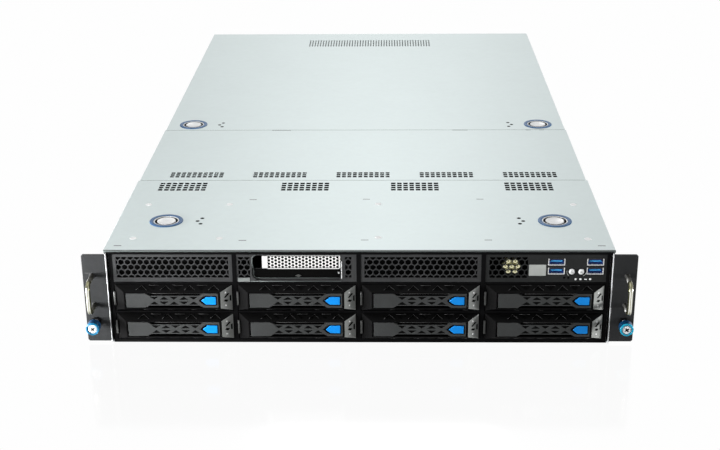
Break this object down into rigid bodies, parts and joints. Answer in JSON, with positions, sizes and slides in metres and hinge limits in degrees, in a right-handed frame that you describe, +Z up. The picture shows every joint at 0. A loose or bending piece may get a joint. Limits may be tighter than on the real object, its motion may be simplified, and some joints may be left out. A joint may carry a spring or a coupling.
{
  "type": "rack server",
  "caption": "Low rack-mount server with hot-swap drive carriers in front, lift-off top covers, rack ears with handles and slide-in power supplies behind.",
  "frame": {"origin": "under the middle of the server, on its underside", "axes": "+X to the right seen from the front, +Y to the back, +Z up"},
  "size_m": [0.4826, 0.8324, 0.0888],
  "materials": {
    "galvanised_steel": "zinc-coated sheet",
    "cover_steel": "pale zinc-coated sheet, satin",
    "black_steel": "black powder coat",
    "ear_steel": "dark grey powder coat",
    "handle_chrome": "polished plating",
    "grille_plastic": "fine satin black",
    "black_plastic": "moulded black",
    "lever_plastic": "moulded dark grey",
    "blue_plastic": "moulded bright blue",
    "ring_blue": "moulded dull blue",
    "button_plastic": "moulded white",
    "bright_steel": "bright sheet",
    "circuit_board": "green solder mask",
    "heatsink_aluminium": "bare fins"
  },
  "bodies": {
    "case": {"chassis_tray": "galvanised_steel", "rear_panel": "galvanised_steel", "front_cage": "black_steel", "middle_cover": "cover_steel", "rack_ears": "ear_steel", "rack_handles": "handle_chrome", "honeycomb_grilles": "grille_plastic", "slot_panel": "grille_plastic", "slot_blank": "bright_steel", "io_panel": "grille_plastic", "usb_shells": "bright_steel", "usb_tongues": "blue_plastic", "drive_backplane": "circuit_board", "fan_frames": "black_plastic", "motherboard": "circuit_board", "cpu_heatsinks": "heatsink_aluminium", "memory_modules": "circuit_board", "slot_covers": "galvanised_steel"},
    "front_cover": {"front_cover": "cover_steel", "front_latch_rings": "ring_blue"},
    "front_left_latch_button": {"front_left_latch_button": "bright_steel"},
    "front_right_latch_button": {"front_right_latch_button": "bright_steel"},
    "rear_cover": {"rear_cover": "cover_steel", "rear_latch_rings": "ring_blue"},
    "rear_left_latch_button": {"rear_left_latch_button": "bright_steel"},
    "rear_right_latch_button": {"rear_right_latch_button": "bright_steel"},
    "left_thumbscrew": {"left_thumbscrew": "blue_plastic"},
    "right_thumbscrew": {"right_thumbscrew": "blue_plastic"},
    "power_button": {"power_button": "button_plastic"},
    "locate_button": {"locate_button": "button_plastic"},
    "fan_rotor_1": {"fan_rotor_1": "black_plastic"},
    "fan_rotor_2": {"fan_rotor_2": "black_plastic"},
    "fan_rotor_3": {"fan_rotor_3": "black_plastic"},
    "fan_rotor_4": {"fan_rotor_4": "black_plastic"},
    "power_supply_1": {"power_supply_1": "galvanised_steel"},
    "power_supply_2": {"power_supply_2": "galvanised_steel"},
    "drive_carrier_1": {"drive_carrier_1": "black_plastic"},
    "carrier_lever_1": {"carrier_lever_1": "lever_plastic"},
    "carrier_latch_1": {"carrier_latch_1": "blue_plastic"},
    "drive_carrier_2": {"drive_carrier_2": "black_plastic"},
    "carrier_lever_2": {"carrier_lever_2": "lever_plastic"},
    "carrier_latch_2": {"carrier_latch_2": "blue_plastic"},
    "drive_carrier_3": {"drive_carrier_3": "black_plastic"},
    "carrier_lever_3": {"carrier_lever_3": "lever_plastic"},
    "carrier_latch_3": {"carrier_latch_3": "blue_plastic"},
    "drive_carrier_4": {"drive_carrier_4": "black_plastic"},
    "carrier_lever_4": {"carrier_lever_4": "lever_plastic"},
    "carrier_latch_4": {"carrier_latch_4": "blue_plastic"},
    "drive_carrier_5": {"drive_carrier_5": "black_plastic"},
    "carrier_lever_5": {"carrier_lever_5": "lever_plastic"},
    "carrier_latch_5": {"carrier_latch_5": "blue_plastic"},
    "drive_carrier_6": {"drive_carrier_6": "black_plastic"},
    "carrier_lever_6": {"carrier_lever_6": "lever_plastic"},
    "carrier_latch_6": {"carrier_latch_6": "blue_plastic"},
    "drive_carrier_7": {"drive_carrier_7": "black_plastic"},
    "carrier_lever_7": {"carrier_lever_7": "lever_plastic"},
    "carrier_latch_7": {"carrier_latch_7": "blue_plastic"},
    "drive_carrier_8": {"drive_carrier_8": "black_plastic"},
    "carrier_lever_8": {"carrier_lever_8": "lever_plastic"},
    "carrier_latch_8": {"carrier_latch_8": "blue_plastic"}
  },
  "joints": [
    {"name": "front_cover_lift", "type": "slide", "parent": "case", "child": "front_cover", "axis": [0, 0, 1], "range_m": [0, 0.06]},
    {"name": "front_left_latch_press", "type": "slide", "parent": "front_cover", "child": "front_left_latch_button", "axis": [0, 0, -1], "range_m": [0, 0.0025], "stiffness_N_per_m": 800},
    {"name": "front_right_latch_press", "type": "slide", "parent": "front_cover", "child": "front_right_latch_button", "axis": [0, 0, -1], "range_m": [0, 0.0025], "stiffness_N_per_m": 800},
    {"name": "rear_cover_lift", "type": "slide", "parent": "case", "child": "rear_cover", "axis": [0, 0, 1], "range_m": [0, 0.06]},
    {"name": "rear_left_latch_press", "type": "slide", "parent": "rear_cover", "child": "rear_left_latch_button", "axis": [0, 0, -1], "range_m": [0, 0.0025], "stiffness_N_per_m": 800},
    {"name": "rear_right_latch_press", "type": "slide", "parent": "rear_cover", "child": "rear_right_latch_button", "axis": [0, 0, -1], "range_m": [0, 0.0025], "stiffness_N_per_m": 800},
    {"name": "left_thumbscrew_turn", "type": "hinge", "parent": "case", "child": "left_thumbscrew", "pos_m": [-0.23255, -0.39225, 0.0218], "axis": [0, 1, 0], "continuous": true},
    {"name": "right_thumbscrew_turn", "type": "hinge", "parent": "case", "child": "right_thumbscrew", "pos_m": [0.23255, -0.39225, 0.0218], "axis": [0, 1, 0], "continuous": true},
    {"name": "power_button_press", "type": "slide", "parent": "case", "child": "power_button", "axis": [0, 1, 0], "range_m": [0, 0.0012], "stiffness_N_per_m": 300},
    {"name": "locate_button_press", "type": "slide", "parent": "case", "child": "locate_button", "axis": [0, 1, 0], "range_m": [0, 0.0012], "stiffness_N_per_m": 300},
    {"name": "fan_1_spin", "type": "hinge", "parent": "case", "child": "fan_rotor_1", "pos_m": [-0.15, -0.16575, 0.0407], "axis": [0, 1, 0], "continuous": true},
    {"name": "fan_2_spin", "type": "hinge", "parent": "case", "child": "fan_rotor_2", "pos_m": [-0.05, -0.16575, 0.0407], "axis": [0, 1, 0], "continuous": true},
    {"name": "fan_3_spin", "type": "hinge", "parent": "case", "child": "fan_rotor_3", "pos_m": [0.05, -0.16575, 0.0407], "axis": [0, 1, 0], "continuous": true},
    {"name": "fan_4_spin", "type": "hinge", "parent": "case", "child": "fan_rotor_4", "pos_m": [0.15, -0.16575, 0.0407], "axis": [0, 1, 0], "continuous": true},
    {"name": "power_supply_1_slide", "type": "slide", "parent": "case", "child": "power_supply_1", "axis": [0, 1, 0], "range_m": [0, 0.15]},
    {"name": "power_supply_2_slide", "type": "slide", "parent": "case", "child": "power_supply_2", "axis": [0, 1, 0], "range_m": [0, 0.15]},
    {"name": "carrier_1_slide", "type": "slide", "parent": "case", "child": "drive_carrier_1", "axis": [0, -1, 0], "range_m": [0, 0.16]},
    {"name": "lever_1_swing", "type": "hinge", "parent": "drive_carrier_1", "child": "carrier_lever_1", "pos_m": [-0.2001, -0.39525, 0.0162], "axis": [0, 0, -1], "range_deg": [0, 50]},
    {"name": "latch_1_slide", "type": "slide", "parent": "carrier_lever_1", "child": "carrier_latch_1", "axis": [-1, 0, 0], "range_m": [0, 0.0018], "stiffness_N_per_m": 300},
    {"name": "carrier_2_slide", "type": "slide", "parent": "case", "child": "drive_carrier_2", "axis": [0, -1, 0], "range_m": [0, 0.16]},
    {"name": "lever_2_swing", "type": "hinge", "parent": "drive_carrier_2", "child": "carrier_lever_2", "pos_m": [-0.0917, -0.39525, 0.0162], "axis": [0, 0, -1], "range_deg": [0, 50]},
    {"name": "latch_2_slide", "type": "slide", "parent": "carrier_lever_2", "child": "carrier_latch_2", "axis": [-1, 0, 0], "range_m": [0, 0.0018], "stiffness_N_per_m": 300},
    {"name": "carrier_3_slide", "type": "slide", "parent": "case", "child": "drive_carrier_3", "axis": [0, -1, 0], "range_m": [0, 0.16]},
    {"name": "lever_3_swing", "type": "hinge", "parent": "drive_carrier_3", "child": "carrier_lever_3", "pos_m": [0.0167, -0.39525, 0.0162], "axis": [0, 0, -1], "range_deg": [0, 50]},
    {"name": "latch_3_slide", "type": "slide", "parent": "carrier_lever_3", "child": "carrier_latch_3", "axis": [-1, 0, 0], "range_m": [0, 0.0018], "stiffness_N_per_m": 300},
    {"name": "carrier_4_slide", "type": "slide", "parent": "case", "child": "drive_carrier_4", "axis": [0, -1, 0], "range_m": [0, 0.16]},
    {"name": "lever_4_swing", "type": "hinge", "parent": "drive_carrier_4", "child": "carrier_lever_4", "pos_m": [0.1251, -0.39525, 0.0162], "axis": [0, 0, -1], "range_deg": [0, 50]},
    {"name": "latch_4_slide", "type": "slide", "parent": "carrier_lever_4", "child": "carrier_latch_4", "axis": [-1, 0, 0], "range_m": [0, 0.0018], "stiffness_N_per_m": 300},
    {"name": "carrier_5_slide", "type": "slide", "parent": "case", "child": "drive_carrier_5", "axis": [0, -1, 0], "range_m": [0, 0.16]},
    {"name": "lever_5_swing", "type": "hinge", "parent": "drive_carrier_5", "child": "carrier_lever_5", "pos_m": [-0.2001, -0.39525, 0.044], "axis": [0, 0, -1], "range_deg": [0, 50]},
    {"name": "latch_5_slide", "type": "slide", "parent": "carrier_lever_5", "child": "carrier_latch_5", "axis": [-1, 0, 0], "range_m": [0, 0.0018], "stiffness_N_per_m": 300},
    {"name": "carrier_6_slide", "type": "slide", "parent": "case", "child": "drive_carrier_6", "axis": [0, -1, 0], "range_m": [0, 0.16]},
    {"name": "lever_6_swing", "type": "hinge", "parent": "drive_carrier_6", "child": "carrier_lever_6", "pos_m": [-0.0917, -0.39525, 0.044], "axis": [0, 0, -1], "range_deg": [0, 50]},
    {"name": "latch_6_slide", "type": "slide", "parent": "carrier_lever_6", "child": "carrier_latch_6", "axis": [-1, 0, 0], "range_m": [0, 0.0018], "stiffness_N_per_m": 300},
    {"name": "carrier_7_slide", "type": "slide", "parent": "case", "child": "drive_carrier_7", "axis": [0, -1, 0], "range_m": [0, 0.16]},
    {"name": "lever_7_swing", "type": "hinge", "parent": "drive_carrier_7", "child": "carrier_lever_7", "pos_m": [0.0167, -0.39525, 0.044], "axis": [0, 0, -1], "range_deg": [0, 50]},
    {"name": "latch_7_slide", "type": "slide", "parent": "carrier_lever_7", "child": "carrier_latch_7", "axis": [-1, 0, 0], "range_m": [0, 0.0018], "stiffness_N_per_m": 300},
    {"name": "carrier_8_slide", "type": "slide", "parent": "case", "child": "drive_carrier_8", "axis": [0, -1, 0], "range_m": [0, 0.16]},
    {"name": "lever_8_swing", "type": "hinge", "parent": "drive_carrier_8", "child": "carrier_lever_8", "pos_m": [0.1251, -0.39525, 0.044], "axis": [0, 0, -1], "range_deg": [0, 50]},
    {"name": "latch_8_slide", "type": "slide", "parent": "carrier_lever_8", "child": "carrier_latch_8", "axis": [-1, 0, 0], "range_m": [0, 0.0018], "stiffness_N_per_m": 300}
  ]
}
